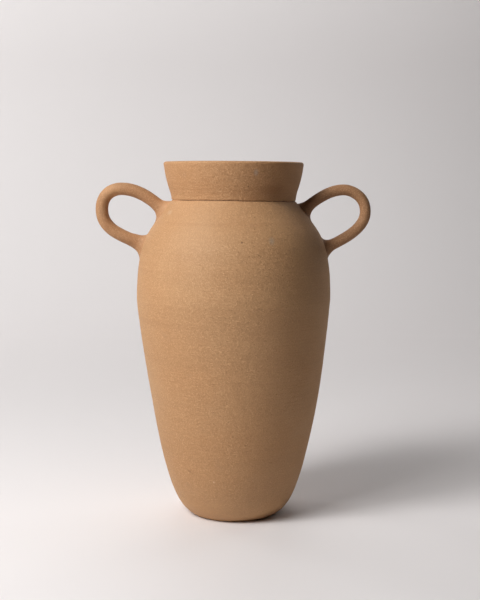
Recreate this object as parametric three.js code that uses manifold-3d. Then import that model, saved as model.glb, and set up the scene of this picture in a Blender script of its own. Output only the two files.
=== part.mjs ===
import * as THREE from "three";
import { mergeVertices } from "three/addons/utils/BufferGeometryUtils.js";
import Module from "manifold-3d";

// A two-handled stoneware jar, in millimetres. It stands on z = 0 with its axis on +Z, and its
// handles lie in the XZ plane. The pieces are those that a potter throws, rolls and joins.

// Body: the flat base, the side that widens to the belly, and the steep shoulder under the neck.
const BODY_HEIGHT = 339;
const BASE_RADIUS = 42.5;
const HEEL_RADIUS = 63.7;
const HEEL_HEIGHT = 21;
const HEEL_LEAN = 26;
const BELLY_RADIUS = 104;
const SHOULDER_DEPTH = 99;
const BELLY_HEIGHT = BODY_HEIGHT - SHOULDER_DEPTH;
const SHOULDER_LEAN = 38;
const SHOULDER_LENGTH = 32;
const BODY_WALL = 6.5;
const FLOOR_THICKNESS = 9;
const LIP_DEPTH = 6;

// Neck: a flared collar that is set on the lip of the body.
const NECK_HEIGHT = 40.1;
const NECK_FOOT_RADIUS = 66.3;
const NECK_LEAN = 9;
const NECK_WALL = 6;
const MOUTH_RADIUS = 74.9;
const RIM_ROUND = 2.4;

// Slip: the thin bed between lip and neck, set back a little from both walls.
const SLIP_THICKNESS = 0.9;
const SLIP_SETBACK = 0.7;

// Handles: rolled coils bent to an ear-shaped loop. The roots leave the wall outwards and upwards.
// They are bent by hand, so the two differ a little. The crest is the top of a loop's middle line.
// The roots are placed from the lip down, as the upper one sits close under the neck.
const UPPER_ROOT_DEPTH = 8.3;
const UPPER_ROOT_HEIGHT = BODY_HEIGHT - UPPER_ROOT_DEPTH;
const UPPER_ROOT_LEAN = 32;
const LOWER_ROOT_LEAN = 31;
const HANDLE_PROJECTION = 44;
const LEFT_COIL_DIAMETER = 14.2;
const LEFT_ROOT_SPAN = 39.9;
const LEFT_LOWER_ROOT_HEIGHT = UPPER_ROOT_HEIGHT - LEFT_ROOT_SPAN;
const LEFT_CREST_RISE = 21.2;
const LEFT_CREST_INSET = 22.9;
const LEFT_TIP_DROP = 22.4;
const RIGHT_COIL_DIAMETER = 12.6;
const RIGHT_ROOT_SPAN = 43.7;
const RIGHT_LOWER_ROOT_HEIGHT = UPPER_ROOT_HEIGHT - RIGHT_ROOT_SPAN;
const RIGHT_CREST_RISE = 20.2;
const RIGHT_CREST_INSET = 24.9;
const RIGHT_TIP_DROP = 21.7;

// Luting: the soft clay worked round each handle end. It flares out to the wall.
const UPPER_FLARE_RADIUS = 13;
const LOWER_FLARE_RADIUS = 14.6;
const FLARE_LENGTH = 9.5;
const FLARE_EDGE = 0.8;
const NECK_SPACE = 4.5;

// What is left between pieces that meet on a slanted or cut face.
const CLEARANCE = 0.3;

// How finely the curves are drawn.
const TURN_SEGMENTS = 48;
const HEEL_POINTS = 6;
const SIDE_POINTS = 10;
const SHOULDER_POINTS = 8;
const NECK_POINTS = 6;
const ROUND_POINTS = 4;
const COIL_SIDES = 14;
const LOOP_STEPS = 32;
const FLARE_SEGMENTS = 20;
const FLARE_POINTS = 6;

// How far each curve runs on before it turns, as a share of the distance that it spans.
const HEEL_EASE = [0.07, 0.6];
const SIDE_EASE = [0.22, 0.11];
const SHOULDER_EASE = [0.48, 0.28];
const NECK_EASE = [0.35, 0.36];
const LEFT_LOOP_EASE = { rise: [0.28, 0.36], crest: [0.44, 0.49], fall: [0.45, 0.21] };
const RIGHT_LOOP_EASE = { rise: [0.35, 0.35], crest: [0.49, 0.2], fall: [0.33, 0.34] };

const LIP_BORE = NECK_FOOT_RADIUS - NECK_WALL;
const UP = new THREE.Vector2(0, 1);
const DOWN = new THREE.Vector2(0, -1);
const OUT = new THREE.Vector2(1, 0);

// The clay: unglazed and sandy. The slip in the joint looks darker because it lies in a groove.
const STONEWARE = { color: 0xc2966a, roughness: 0.92, metalness: 0 };
const SLIP = { color: 0x9a7048, roughness: 0.95, metalness: 0 };

const LEFT_HANDLE = {
  coilRadius: LEFT_COIL_DIAMETER / 2,
  lowerRootHeight: LEFT_LOWER_ROOT_HEIGHT,
  crestHeight: UPPER_ROOT_HEIGHT + LEFT_CREST_RISE,
  crestInset: LEFT_CREST_INSET,
  tipDrop: LEFT_TIP_DROP,
  ease: LEFT_LOOP_EASE,
};
const RIGHT_HANDLE = {
  coilRadius: RIGHT_COIL_DIAMETER / 2,
  lowerRootHeight: RIGHT_LOWER_ROOT_HEIGHT,
  crestHeight: UPPER_ROOT_HEIGHT + RIGHT_CREST_RISE,
  crestInset: RIGHT_CREST_INSET,
  tipDrop: RIGHT_TIP_DROP,
  ease: RIGHT_LOOP_EASE,
};

const wasm = await Module();
wasm.setup();

// A unit vector that leans away from the jar's axis by an angle from upright.
function leaning(degrees) {
  const angle = THREE.MathUtils.degToRad(degrees);
  return new THREE.Vector2(Math.sin(angle), Math.cos(angle));
}

// A unit vector that rises outwards at an angle from level.
function rising(degrees) {
  return leaning(90 - degrees);
}

// A curve from one point to another that leaves and arrives along two given directions.
function eased(from, leave, to, arrive, [first, last]) {
  const span = from.distanceTo(to);
  return new THREE.CubicBezierCurve(
    from,
    from.clone().addScaledVector(leave, first * span),
    to.clone().addScaledVector(arrive, -last * span),
    to,
  );
}

// The outer line of the body from the edge of the base to the lip, as radius and height.
function bodyOutline() {
  const base = new THREE.Vector2(BASE_RADIUS, 0);
  const heel = new THREE.Vector2(HEEL_RADIUS, HEEL_HEIGHT);
  const belly = new THREE.Vector2(BELLY_RADIUS, BELLY_HEIGHT);
  const lip = new THREE.Vector2(NECK_FOOT_RADIUS, BODY_HEIGHT);
  const side = leaning(HEEL_LEAN);
  const slope = leaning(-SHOULDER_LEAN);
  const shoulder = lip.clone().addScaledVector(slope, -SHOULDER_LENGTH);
  return [
    ...eased(base, OUT, heel, side, HEEL_EASE).getPoints(HEEL_POINTS),
    ...eased(heel, side, belly, UP, SIDE_EASE).getPoints(SIDE_POINTS).slice(1),
    ...eased(belly, UP, shoulder, slope, SHOULDER_EASE).getPoints(SHOULDER_POINTS).slice(1),
    lip,
  ];
}

// The same line moved square to itself, outwards where the distance is positive.
function offset(points, distance) {
  return points.map((point, i) => {
    const before = points[Math.max(i - 1, 0)];
    const after = points[Math.min(i + 1, points.length - 1)];
    const along = after.clone().sub(before).normalize();
    return new THREE.Vector2(point.x + along.y * distance, point.y - along.x * distance);
  });
}

// The radius of a line of points at one height.
function radiusAt(points, height) {
  const next = Math.max(points.findIndex((point) => point.y >= height), 1);
  const [low, high] = [points[next - 1], points[next]];
  return low.x + ((high.x - low.x) * (height - low.y)) / (high.y - low.y);
}

// The points of a round line in so many steps. An arc is drawn with twice the divisions it is asked for.
function roundPoints(path, steps) {
  return path.getPoints(Math.ceil(steps / 2));
}

// A profile turned round the upright axis.
function turned(profile, segments = TURN_SEGMENTS) {
  return new THREE.LatheGeometry(profile, segments).rotateX(Math.PI / 2);
}

// A geometry as a solid that can be cut.
function solidOf(geometry) {
  const bare = geometry.clone();
  bare.deleteAttribute("normal");
  bare.deleteAttribute("uv");
  const merged = mergeVertices(bare, 1e-4);
  return new wasm.Manifold(
    new wasm.Mesh({
      numProp: 3,
      vertProperties: merged.attributes.position.array,
      triVerts: new Uint32Array(merged.index.array),
    }),
  );
}

// A cut solid as a geometry again.
function geometryOf(solid) {
  const { vertProperties, triVerts } = solid.getMesh();
  const geometry = new THREE.BufferGeometry();
  geometry.setAttribute("position", new THREE.BufferAttribute(vertProperties, 3));
  geometry.setIndex(new THREE.BufferAttribute(triVerts, 1));
  geometry.computeVertexNormals();
  return geometry;
}

// The thrown body: its outer line, the flat lip that carries the neck, and the hollow.
function bodyGeometry(outline) {
  const inside = offset(outline, -BODY_WALL);
  const lipUnderside = BODY_HEIGHT - LIP_DEPTH;
  const hollow = inside
    .filter((point) => point.y > FLOOR_THICKNESS && point.y < lipUnderside)
    .filter((point) => point.y < BELLY_HEIGHT || point.x > LIP_BORE)
    .reverse();
  return turned([
    new THREE.Vector2(0, 0),
    ...outline,
    new THREE.Vector2(LIP_BORE, BODY_HEIGHT),
    new THREE.Vector2(LIP_BORE, lipUnderside),
    ...hollow,
    new THREE.Vector2(radiusAt(inside, FLOOR_THICKNESS), FLOOR_THICKNESS),
    new THREE.Vector2(0, FLOOR_THICKNESS),
  ]);
}

// The neck: a wall of even thickness that flares to a rim with both edges rounded.
function neckGeometry() {
  const round = Math.min(RIM_ROUND, 0.45 * NECK_WALL);
  const foot = new THREE.Vector2(NECK_FOOT_RADIUS, 0);
  const shoulderOfRim = new THREE.Vector2(MOUTH_RADIUS, NECK_HEIGHT - round);
  const flare = eased(foot, leaning(NECK_LEAN), shoulderOfRim, UP, NECK_EASE).getPoints(NECK_POINTS);
  const inside = flare.map((point) => new THREE.Vector2(point.x - NECK_WALL, point.y)).reverse();
  const rim = new THREE.Path();
  rim.absarc(MOUTH_RADIUS - round, NECK_HEIGHT - round, round, 0, Math.PI / 2);
  rim.absarc(MOUTH_RADIUS - NECK_WALL + round, NECK_HEIGHT - round, round, Math.PI / 2, Math.PI);
  return turned([...flare.slice(0, -1), ...roundPoints(rim, ROUND_POINTS), ...inside.slice(1), foot]);
}

// The bed of slip between lip and neck.
function slipGeometry() {
  const inner = LIP_BORE + SLIP_SETBACK;
  const outer = NECK_FOOT_RADIUS - SLIP_SETBACK;
  return turned([
    new THREE.Vector2(inner, 0),
    new THREE.Vector2(outer, 0),
    new THREE.Vector2(outer, SLIP_THICKNESS),
    new THREE.Vector2(inner, SLIP_THICKNESS),
    new THREE.Vector2(inner, 0),
  ]);
}

// Where a handle end meets the wall, and the direction in which the coil leaves it.
function rootOn(outline, height, lean) {
  return { point: new THREE.Vector2(radiusAt(outline, height), height), out: rising(lean) };
}

// The coil's middle line. Both ends run straight through the luting and start inside the wall.
function loopPath(upper, lower, { coilRadius, crestHeight, crestInset, tipDrop, ease }) {
  const tip = new THREE.Vector2(BELLY_RADIUS + HANDLE_PROJECTION - coilRadius, crestHeight - tipDrop);
  const crest = new THREE.Vector2(tip.x - crestInset, crestHeight);
  const along = (root, distance) => root.point.clone().addScaledVector(root.out, distance);
  const straight = FLARE_LENGTH + CLEARANCE;
  const buried = -2 * coilRadius;
  const path = new THREE.CurvePath();
  path.add(new THREE.LineCurve(along(upper, buried), along(upper, straight)));
  path.add(eased(along(upper, straight), upper.out, crest, OUT, ease.rise));
  path.add(eased(crest, OUT, tip, DOWN, ease.crest));
  path.add(eased(tip, DOWN, along(lower, straight), lower.out.clone().negate(), ease.fall));
  path.add(new THREE.LineCurve(along(lower, straight), along(lower, buried)));
  return path;
}

// A round coil of clay along a middle line in the XZ plane.
function coilGeometry(path, coilRadius) {
  const section = new THREE.Shape();
  section.absarc(0, 0, coilRadius, 0, 2 * Math.PI);
  const points = path.getSpacedPoints(LOOP_STEPS).map((point) => new THREE.Vector3(point.x, 0, point.y));
  const settings = {
    steps: LOOP_STEPS,
    curveSegments: Math.ceil(COIL_SIDES / 2),
    bevelEnabled: false,
    extrudePath: new THREE.CatmullRomCurve3(points),
  };
  return new THREE.ExtrudeGeometry(section, settings);
}

// The luting round one handle end, a ring that flares towards the wall, turned to the coil's direction.
function lutingGeometry(root, coilRadius, flareRadius) {
  const bore = coilRadius + CLEARANCE;
  const collar = bore + FLARE_EDGE;
  const flare = new THREE.Path();
  const reach = [flareRadius - collar, FLARE_LENGTH - FLARE_EDGE];
  flare.absellipse(flareRadius, FLARE_LENGTH, ...reach, 1.5 * Math.PI, Math.PI, true);
  const profile = [
    new THREE.Vector2(bore, -flareRadius / 2),
    new THREE.Vector2(flareRadius, -flareRadius / 2),
    ...roundPoints(flare, FLARE_POINTS),
    new THREE.Vector2(bore, FLARE_LENGTH),
    new THREE.Vector2(bore, -flareRadius / 2),
  ];
  const direction = new THREE.Vector3(root.out.x, 0, root.out.y);
  const turn = new THREE.Quaternion().setFromUnitVectors(new THREE.Vector3(0, 0, 1), direction);
  return turned(profile, FLARE_SEGMENTS).applyQuaternion(turn).translate(root.point.x, 0, root.point.y);
}

// What the handle and its luting keep clear of: the body with a clearance round it.
function bodySpace(outline) {
  const line = offset(outline, CLEARANCE);
  const top = new THREE.Vector2(line.at(-1).x, BODY_HEIGHT + SLIP_THICKNESS + NECK_HEIGHT);
  const axis = [new THREE.Vector2(0, top.y), new THREE.Vector2(0, -CLEARANCE)];
  return solidOf(turned([axis[1], ...line, top, axis[0]]));
}

// What the luting also keeps clear of: a widening space round the foot of the neck.
function neckSpace() {
  const radius = NECK_FOOT_RADIUS + NECK_SPACE;
  return solidOf(
    turned([
      new THREE.Vector2(0, BODY_HEIGHT),
      new THREE.Vector2(radius, BODY_HEIGHT),
      new THREE.Vector2(radius + NECK_HEIGHT, BODY_HEIGHT + NECK_HEIGHT),
      new THREE.Vector2(0, BODY_HEIGHT + NECK_HEIGHT),
    ]),
  );
}

function mesh(name, geometry, clay) {
  const made = new THREE.Mesh(geometry, new THREE.MeshStandardMaterial(clay));
  made.name = name;
  return made;
}

// One handle with the luting at both ends, on the +X side of the jar.
function handleGroup(name, outline, handle) {
  const upper = rootOn(outline, UPPER_ROOT_HEIGHT, UPPER_ROOT_LEAN);
  const lower = rootOn(outline, handle.lowerRootHeight, LOWER_ROOT_LEAN);
  const wall = bodySpace(outline);
  const coil = solidOf(coilGeometry(loopPath(upper, lower, handle), handle.coilRadius)).subtract(wall);
  const upperRing = solidOf(lutingGeometry(upper, handle.coilRadius, UPPER_FLARE_RADIUS))
    .subtract(wall)
    .subtract(neckSpace());
  const lowerRing = solidOf(lutingGeometry(lower, handle.coilRadius, LOWER_FLARE_RADIUS)).subtract(wall);
  const group = new THREE.Group();
  group.add(mesh(name, geometryOf(coil), STONEWARE));
  group.add(mesh(`${name}_upper_luting`, geometryOf(upperRing), STONEWARE));
  group.add(mesh(`${name}_lower_luting`, geometryOf(lowerRing), STONEWARE));
  return group;
}

const outline = bodyOutline();
const jar = new THREE.Group();
jar.name = "jar";
jar.add(mesh("body", bodyGeometry(outline), STONEWARE));

const slip = mesh("neck_slip_ring", slipGeometry(), SLIP);
slip.position.z = BODY_HEIGHT;
jar.add(slip);

const neck = mesh("neck", neckGeometry(), STONEWARE);
neck.position.z = BODY_HEIGHT + SLIP_THICKNESS;
jar.add(neck);

jar.add(handleGroup("handle_right", outline, RIGHT_HANDLE));

const leftHandle = handleGroup("handle_left", outline, LEFT_HANDLE);
leftHandle.rotation.z = Math.PI;
jar.add(leftHandle);

export default jar;
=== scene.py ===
"""A two-handled stoneware jar on a pale studio floor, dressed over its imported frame."""

import logging
import math
from dataclasses import dataclass, field
from enum import Enum

import bpy
import numpy as np
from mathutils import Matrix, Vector


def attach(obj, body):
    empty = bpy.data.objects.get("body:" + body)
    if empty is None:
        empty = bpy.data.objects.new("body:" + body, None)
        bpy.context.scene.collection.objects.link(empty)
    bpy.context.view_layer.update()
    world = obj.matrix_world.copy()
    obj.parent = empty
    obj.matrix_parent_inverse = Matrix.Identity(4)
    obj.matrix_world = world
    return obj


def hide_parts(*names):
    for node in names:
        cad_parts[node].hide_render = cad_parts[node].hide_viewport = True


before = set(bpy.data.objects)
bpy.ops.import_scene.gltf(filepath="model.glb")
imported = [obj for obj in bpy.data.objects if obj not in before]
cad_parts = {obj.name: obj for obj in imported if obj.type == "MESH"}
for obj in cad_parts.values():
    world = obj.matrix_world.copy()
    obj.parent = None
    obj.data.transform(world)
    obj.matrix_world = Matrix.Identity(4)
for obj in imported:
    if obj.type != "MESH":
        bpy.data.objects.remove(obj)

LOG = logging.getLogger("jar")
MM = 0.001
FULL_TURN = 2 * math.pi
# Directions as radius and height.
UP = np.array([0.0, 1.0])
DOWN = np.array([0.0, -1.0])
OUT = np.array([1.0, 0.0])
# How far a worn corner keeps its direction, as a share of its radius: nearly a circle.
CORNER_PULL = 0.55
# How much the finer layers of a cloudy value count.
CLOUD_ROUGHNESS = 0.55
# Points closer than this, in metres, are made one where a skin closes.
MERGE_DISTANCE = 2e-6

Pair = tuple[float, float]
Triple = tuple[float, float, float]
Colour = Triple


def leaning(degrees: float) -> np.ndarray:
    """A unit vector, as radius and height, that leans outwards from upright by an angle."""
    angle = math.radians(degrees)
    return np.array([math.sin(angle), math.cos(angle)])


def smooth(value: np.ndarray) -> np.ndarray:
    """A soft step: 0 below 0, 1 above 1 and level at both ends."""
    held = np.clip(value, 0.0, 1.0)
    return held * held * (3 - 2 * held)


def cubic(corners: list[np.ndarray], steps: int) -> np.ndarray:
    """Points on a cubic curve.

    Args:
        corners: The four control points.
        steps: How many steps the curve is drawn with.

    Returns:
        One row for each point, the first and last control points included.
    """
    t = np.linspace(0.0, 1.0, steps + 1)[:, None]
    a, b, c, d = corners
    return (1 - t) ** 3 * a + 3 * (1 - t) ** 2 * t * b + 3 * (1 - t) * t**2 * c + t**3 * d


def eased(
    start: np.ndarray,
    leave: np.ndarray,
    end: np.ndarray,
    arrive: np.ndarray,
    ease: Pair,
    steps: int,
) -> np.ndarray:
    """A curve that leaves one point and reaches another along given directions.

    Args:
        start: The first point.
        leave: The unit direction at the first point.
        end: The last point.
        arrive: The unit direction at the last point.
        ease: How far the curve runs on at each end before it turns, as a share of the span.
        steps: How many steps the curve is drawn with.

    Returns:
        One row for each point.
    """
    span = float(np.linalg.norm(end - start))
    return cubic([start, start + leave * ease[0] * span, end - arrive * ease[1] * span, end], steps)


def rounded(
    corner: np.ndarray, before: np.ndarray, after: np.ndarray, radius: float, steps: int
) -> np.ndarray:
    """A corner worn to a small curve.

    Args:
        corner: The sharp corner.
        before: A point on the line that comes in.
        after: A point on the line that goes out.
        radius: How far from the corner the curve starts and ends.
        steps: How many steps the curve is drawn with.

    Returns:
        One row for each point, without the corner itself.
    """
    come = (before - corner) / np.linalg.norm(before - corner)
    go = (after - corner) / np.linalg.norm(after - corner)
    first, last = corner + come * radius, corner + go * radius
    pull = radius * CORNER_PULL
    return cubic([first, first - come * pull, last - go * pull, last], steps)


def arc(centre: np.ndarray, radius: float, start: float, end: float, count: int) -> np.ndarray:
    """Points on a part of a circle.

    Args:
        centre: The middle of the circle.
        radius: Its radius.
        start: The first angle in degrees.
        end: The last one.
        count: How many points are made.

    Returns:
        One row for each point.
    """
    angles = np.radians(np.linspace(start, end, count))
    return centre + radius * np.stack([np.cos(angles), np.sin(angles)], axis=1)


def offset(line: np.ndarray, distance: float) -> np.ndarray:
    """A line moved square to itself, inwards where the distance is positive.

    Args:
        line: Points as radius and height, from the base up.
        distance: How far to move them.

    Returns:
        The moved points.
    """
    along = np.gradient(line, axis=0)
    along /= np.linalg.norm(along, axis=1)[:, None]
    return line - np.stack([along[:, 1], -along[:, 0]], axis=1) * distance


class Side(Enum):
    """Which side of the jar a handle is on, as the sign of its X."""

    LEFT = -1
    RIGHT = 1


@dataclass(frozen=True)
class JarSizes:
    """The sizes that the pieces share, in millimetres and degrees.

    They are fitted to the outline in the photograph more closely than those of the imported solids.
    The two outlines lie within 2 mm of each other. The radius at the floor is 4.3 mm larger here.
    """

    body_height: float = 339.0
    base_radius: float = 46.8
    base_lean: float = 55.0
    heel: Pair = (61.2, 15.0)
    heel_lean: float = 29.6
    heel_ease: Pair = (0.2, 0.55)
    side_ease: Pair = (0.232, 0.031)
    belly: Pair = (104.1, 234.0)
    belly_ease: Pair = (0.56, 0.233)
    shoulder_lean: float = 37.0
    shoulder_length: float = 32.0
    outline_steps: tuple[int, int, int, int] = (24, 78, 36, 14)
    body_wall: float = 6.5
    floor_thickness: float = 9.0
    lip_depth: float = 6.0
    neck_height: float = 40.1
    neck_foot_radius: float = 66.3
    neck_lean: float = 4.6
    neck_wall: float = 6.0
    mouth_radius: float = 74.6
    mouth_lean: float = 7.7
    rim_round: float = 2.4
    slip_thickness: float = 0.9
    slip_setback: float = 0.7

    def outline(self, finely: float = 1.0) -> np.ndarray:
        """The outer line of the body.

        Args:
            finely: How many times the usual number of steps it is drawn with.

        Returns:
            Points as radius and height, from the edge of the base to the lip.
        """
        base = np.array([self.base_radius, 0.0])
        rise = leaning(self.base_lean)
        heel, belly = np.array(self.heel), np.array(self.belly)
        lip = np.array([self.neck_foot_radius, self.body_height])
        side, slope = leaning(self.heel_lean), leaning(-self.shoulder_lean)
        shoulder = lip - slope * self.shoulder_length
        foot_steps, side_steps, belly_steps, lip_steps = (round(n * finely) for n in self.outline_steps)
        parts = [
            eased(base, rise, heel, side, self.heel_ease, foot_steps),
            eased(heel, side, belly, UP, self.side_ease, side_steps)[1:],
            eased(belly, UP, shoulder, slope, self.belly_ease, belly_steps)[1:],
            np.linspace(shoulder, lip, lip_steps)[1:],
        ]
        return np.concatenate(parts)

    def wall_point(self, height: float) -> np.ndarray:
        """Where the outer line of the body is at one height."""
        line = self.outline()
        return np.array([np.interp(height, line[:, 1], line[:, 0]), height])

    @property
    def neck_foot(self) -> float:
        """The height of the underside of the neck."""
        return self.body_height + self.slip_thickness


@dataclass(frozen=True)
class KilnSettle:
    """How the jar left the true round and level when it was joined and fired, in millimetres.

    The joint line is given by its rise at angles from the front, positive towards the right. The foot
    and the waist stand a little to the right of the neck, the belly a little to the left of it. Each
    of these two shifts is an amount, the height where it is full, and how far it reaches up and down.
    """

    joint_height: float = 339.45
    joint_reach: float = 6.5
    joint_line: tuple[Pair, ...] = (
        (-180, -0.4), (-120, -0.1), (-67, 0.1), (-32, 0.4), (-2, 0.35), (3, 0.25), (8, -0.2),
        (34, -0.5), (50, -0.9), (63, -1.4), (90, -1.4), (135, -0.9), (180, -0.4),
    )
    rim_slope: float = 0.006
    rim_drop: float = 0.46
    rim_from: float = 343.0
    rim_to: float = 374.0
    foot_shift: float = 0.65
    foot_fade: Pair = (150.0, 230.0)
    waist_shift: Triple = (0.57, 122.0, 38.0)
    belly_shift: Triple = (-0.2, 228.0, 18.0)
    depth_share: float = 0.9965

    def settle(self, mesh: bpy.types.Mesh) -> None:
        """Moves the points of a finished mesh up or down.

        Args:
            mesh: A mesh in metres, in the frame of the part.
        """
        place = np.empty(len(mesh.vertices) * 3)
        mesh.vertices.foreach_get("co", place)
        place = place.reshape(-1, 3) / MM
        x, y, z = place.T
        angles, rises = np.array(self.joint_line).T
        rise = np.interp(np.degrees(np.arctan2(x, -y)), angles, rises)
        near = np.exp(-(((z - self.joint_height) / self.joint_reach) ** 2))
        high = smooth((z - self.rim_from) / (self.rim_to - self.rim_from))
        fade_from, fade_to = self.foot_fade
        shift = self.foot_shift * (1 - smooth((z - fade_from) / (fade_to - fade_from)))
        for amount, height, reach in (self.waist_shift, self.belly_shift):
            shift += amount * np.exp(-(((z - height) / reach) ** 2))
        place[:, 2] += rise * near - (self.rim_slope * x + self.rim_drop) * high
        place[:, 0] += shift
        place[:, 1] *= self.depth_share
        mesh.vertices.foreach_set("co", (place * MM).ravel())
        mesh.update()


class Wiring:
    """Adds nodes to one tree and links them, so that a tree reads as a list of steps."""

    def __init__(self, tree: bpy.types.NodeTree) -> None:
        """Starts on a tree."""
        self.tree = tree

    def add(self, kind: str, inputs: dict | None = None, **settings: object) -> bpy.types.Node:
        """Adds one node.

        Args:
            kind: Blender's name for the node.
            inputs: What goes in, by the input's name or number: a value, an opaque colour as
                three numbers, or another node's output.
            settings: The node's own settings.

        Returns:
            The new node.
        """
        node = self.tree.nodes.new(kind)
        for name, value in settings.items():
            setattr(node, name, value)
        for key, value in (inputs or {}).items():
            socket = node.inputs[key]
            if isinstance(value, bpy.types.NodeSocket):
                self.tree.links.new(value, socket)
            else:
                socket.default_value = (*value, 1.0) if socket.type == "RGBA" else value
        return node

    def math(self, operation: str, *values: object) -> bpy.types.NodeSocket:
        """The result of a sum on numbers."""
        return self.add("ShaderNodeMath", dict(enumerate(values)), operation=operation).outputs[0]

    def vector(self, operation: str, *values: object) -> bpy.types.NodeSocket:
        """The result of a sum on vectors."""
        return self.add("ShaderNodeVectorMath", dict(enumerate(values)), operation=operation).outputs[0]

    def scaled(self, vector: object, factor: object) -> bpy.types.NodeSocket:
        """A vector times a number."""
        return self.add("ShaderNodeVectorMath", {0: vector, "Scale": factor}, operation="SCALE").outputs[0]

    def parts(self, vector: object) -> bpy.types.NodeOutputs:
        """The X, Y and Z of a vector."""
        return self.add("ShaderNodeSeparateXYZ", {0: vector}).outputs

    def joined(self, x: object, y: object, z: object) -> bpy.types.NodeSocket:
        """A vector made of three numbers."""
        return self.add("ShaderNodeCombineXYZ", {"X": x, "Y": y, "Z": z}).outputs[0]

    def channels(self, colour: object) -> bpy.types.NodeOutputs:
        """The three channels of a colour."""
        return self.add("ShaderNodeSeparateColor", {0: colour}).outputs

    def noise(
        self, vector: object, scale: object, detail: float, seed: object = 0.0
    ) -> bpy.types.NodeSocket:
        """A cloudy value between 0 and 1 that a seed shifts."""
        inputs = {"Vector": vector, "W": seed, "Scale": scale, "Detail": detail}
        inputs["Roughness"] = CLOUD_ROUGHNESS
        return self.add("ShaderNodeTexNoise", inputs, noise_dimensions="4D").outputs[0]

    def cells(self, vector: object, scale: object) -> bpy.types.NodeOutputs:
        """Scattered cells: the distance to the middle of each and a colour of its own."""
        return self.add("ShaderNodeTexVoronoi", {"Vector": vector, "Scale": scale}).outputs

    def ramp(self, value: object, low: float, high: float) -> bpy.types.NodeSocket:
        """A soft step from 0 at the low value to 1 at the high one."""
        inputs = {"Value": value, "From Min": low, "From Max": high}
        return self.add("ShaderNodeMapRange", inputs, interpolation_type="SMOOTHSTEP").outputs[0]

    def blend(self, share: object, first: object, second: object) -> bpy.types.NodeSocket:
        """A colour between two."""
        return self.add("ShaderNodeMix", {0: share, 6: first, 7: second}, data_type="RGBA").outputs[2]


def new_tree(name: str, kind: str, inputs: dict[str, str], outputs: dict[str, str]) -> Wiring:
    """Makes an empty node group with named sockets.

    Args:
        name: The name of the group.
        kind: GeometryNodeTree or ShaderNodeTree.
        inputs: The type of each input by name.
        outputs: The type of each output by name.

    Returns:
        The wiring of the new group.
    """
    tree = bpy.data.node_groups.new(name, kind)
    for direction, sockets in (("INPUT", inputs), ("OUTPUT", outputs)):
        for label, socket in sockets.items():
            tree.interface.new_socket(label, in_out=direction, socket_type=f"NodeSocket{socket}")
    return Wiring(tree)


def new_material(name: str) -> tuple[bpy.types.Material, Wiring]:
    """Makes an empty material.

    Args:
        name: The name of the material.

    Returns:
        The material and the wiring of its tree.
    """
    made = bpy.data.materials.new(name)
    made.use_nodes = True
    made.node_tree.nodes.clear()
    return made, Wiring(made.node_tree)


class BentSheet:
    """A sheet in a tree, with a row for each point of a line, that is bent round it to a skin."""

    def __init__(self, w: Wiring, line: bpy.types.NodeSocket, around: bpy.types.NodeSocket) -> None:
        """Lays the sheet out flat.

        Args:
            w: The wiring of the tree.
            line: The points that the rows stand for.
            around: How many steps the skin has round the line.
        """
        self.w, self.line = w, line
        rows = w.add("GeometryNodeAttributeDomainSize", {0: line}, component="MESH").outputs["Point Count"]
        counts = {"Vertices X": w.math("ADD", around, 1.0), "Vertices Y": rows}
        self.mesh = w.add("GeometryNodeMeshGrid", counts).outputs["Mesh"]
        index = w.add("GeometryNodeInputIndex").outputs[0]
        column = w.math("FLOOR", w.math("DIVIDE", w.math("ADD", index, 0.5), rows))
        self.row = w.math("SUBTRACT", index, w.math("MULTIPLY", column, rows))
        angle = w.math("MULTIPLY", w.math("DIVIDE", column, around), FULL_TURN)
        self.cosine, self.sine = w.math("COSINE", angle), w.math("SINE", angle)

    def sampled(self, value: bpy.types.NodeSocket, kind: str) -> bpy.types.NodeSocket:
        """A value of the line's own point for each point of the sheet."""
        inputs = {"Geometry": self.line, "Value": value, "Index": self.row}
        return self.w.add("GeometryNodeSampleIndex", inputs, data_type=kind).outputs[0]

    def middle(self) -> bpy.types.NodeSocket:
        """The place of the line's own point."""
        return self.sampled(self.w.add("GeometryNodeInputPosition").outputs[0], "FLOAT_VECTOR")

    def carried(self, name: str, kind: str = "FLOAT") -> bpy.types.NodeSocket:
        """A named value that the line's points carry."""
        value = self.w.add("GeometryNodeInputNamedAttribute", {"Name": name}, data_type=kind).outputs[0]
        return self.sampled(value, kind)

    def bent(self, place: bpy.types.NodeSocket, material: bpy.types.NodeSocket) -> bpy.types.NodeTree:
        """Bends the sheet, closes its seam and poles, smooths it and gives it its material.

        Args:
            place: Where each point of the sheet goes.
            material: The material that the tree was given.

        Returns:
            The finished tree.
        """
        w = self.w
        shaped = w.add("GeometryNodeSetPosition", {"Geometry": self.mesh, "Position": place}).outputs[0]
        merge = {"Geometry": shaped, "Distance": MERGE_DISTANCE}
        closed = w.add("GeometryNodeMergeByDistance", merge).outputs[0]
        soft = w.add("GeometryNodeSetShadeSmooth", {"Geometry": closed}).outputs[0]
        real = w.add("GeometryNodeRealizeInstances", {"Geometry": soft}).outputs[0]
        dressed = w.add("GeometryNodeSetMaterial", {"Geometry": real, "Material": material}).outputs[0]
        w.add("NodeGroupOutput", {"Geometry": dressed})
        return w.tree


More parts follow.
